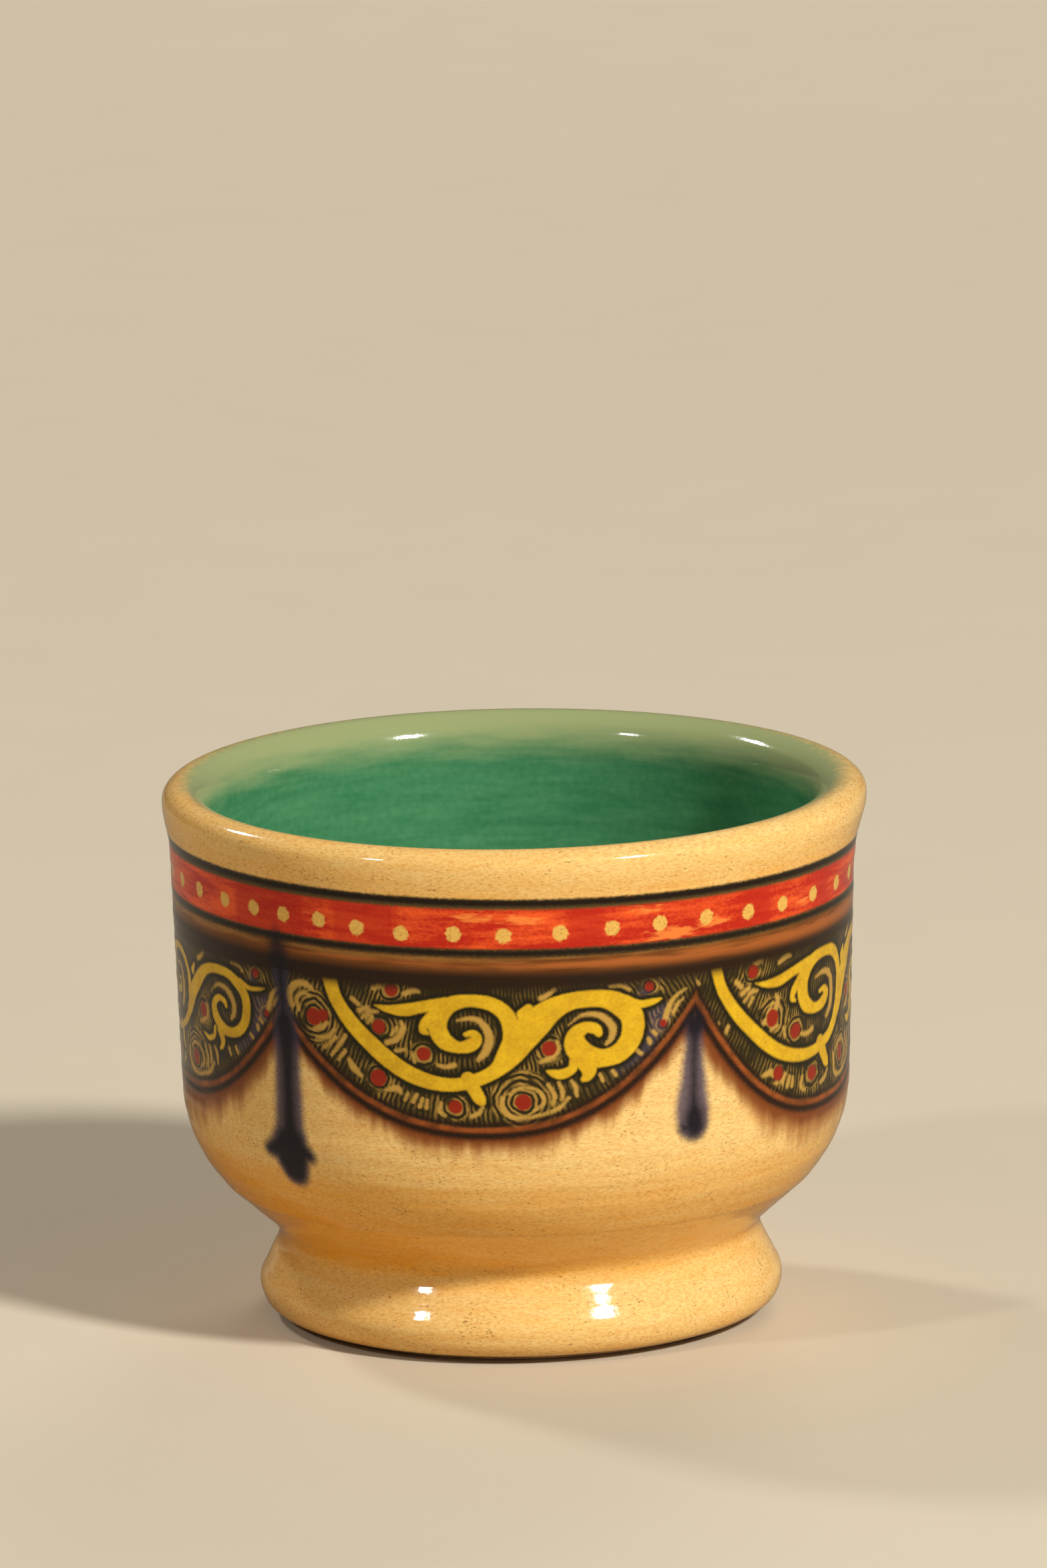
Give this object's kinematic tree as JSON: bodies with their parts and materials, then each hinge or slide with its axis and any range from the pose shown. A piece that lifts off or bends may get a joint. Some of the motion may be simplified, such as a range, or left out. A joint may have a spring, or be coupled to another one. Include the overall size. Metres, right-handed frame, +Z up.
{
  "type": "ceramic cup",
  "caption": "Handle-less footed ceramic cup: round bowl with a rolled lip on a flared foot ring, green glaze inside, painted swag border under honey glaze outside.",
  "frame": {"origin": "centre of the face that the cup stands on", "axes": "+Z up along the cup's axis; -Y is the pictured side"},
  "size_m": [0.09, 0.09, 0.07],
  "materials": {
    "clay": "unglazed, fine grained",
    "luting_slip": "unglazed",
    "green_glaze": "glossy, brushed streaks",
    "honey_glaze": "glossy clear glaze over speckled ochre clay",
    "dark_slip": "glossy",
    "red_slip": "glossy, brushed",
    "brown_slip": "glossy",
    "panel_slip": "glossy",
    "cobalt_slip": "glossy"
  },
  "bodies": {
    "root": {"bowl": "clay", "foot_ring": "clay", "luting_slip": "luting_slip", "green_lining": "green_glaze", "rim_glaze": "honey_glaze", "rim_line": "dark_slip", "red_band": "red_slip", "band_line": "dark_slip", "brown_line": "brown_slip", "swag_panel_1": "panel_slip", "swag_panel_2": "panel_slip", "swag_panel_3": "panel_slip", "swag_panel_4": "panel_slip", "swag_panel_5": "panel_slip", "tassel_1": "cobalt_slip", "tassel_2": "cobalt_slip", "tassel_3": "cobalt_slip", "tassel_4": "cobalt_slip", "tassel_5": "cobalt_slip", "body_glaze": "honey_glaze"}
  },
  "joints": []
}
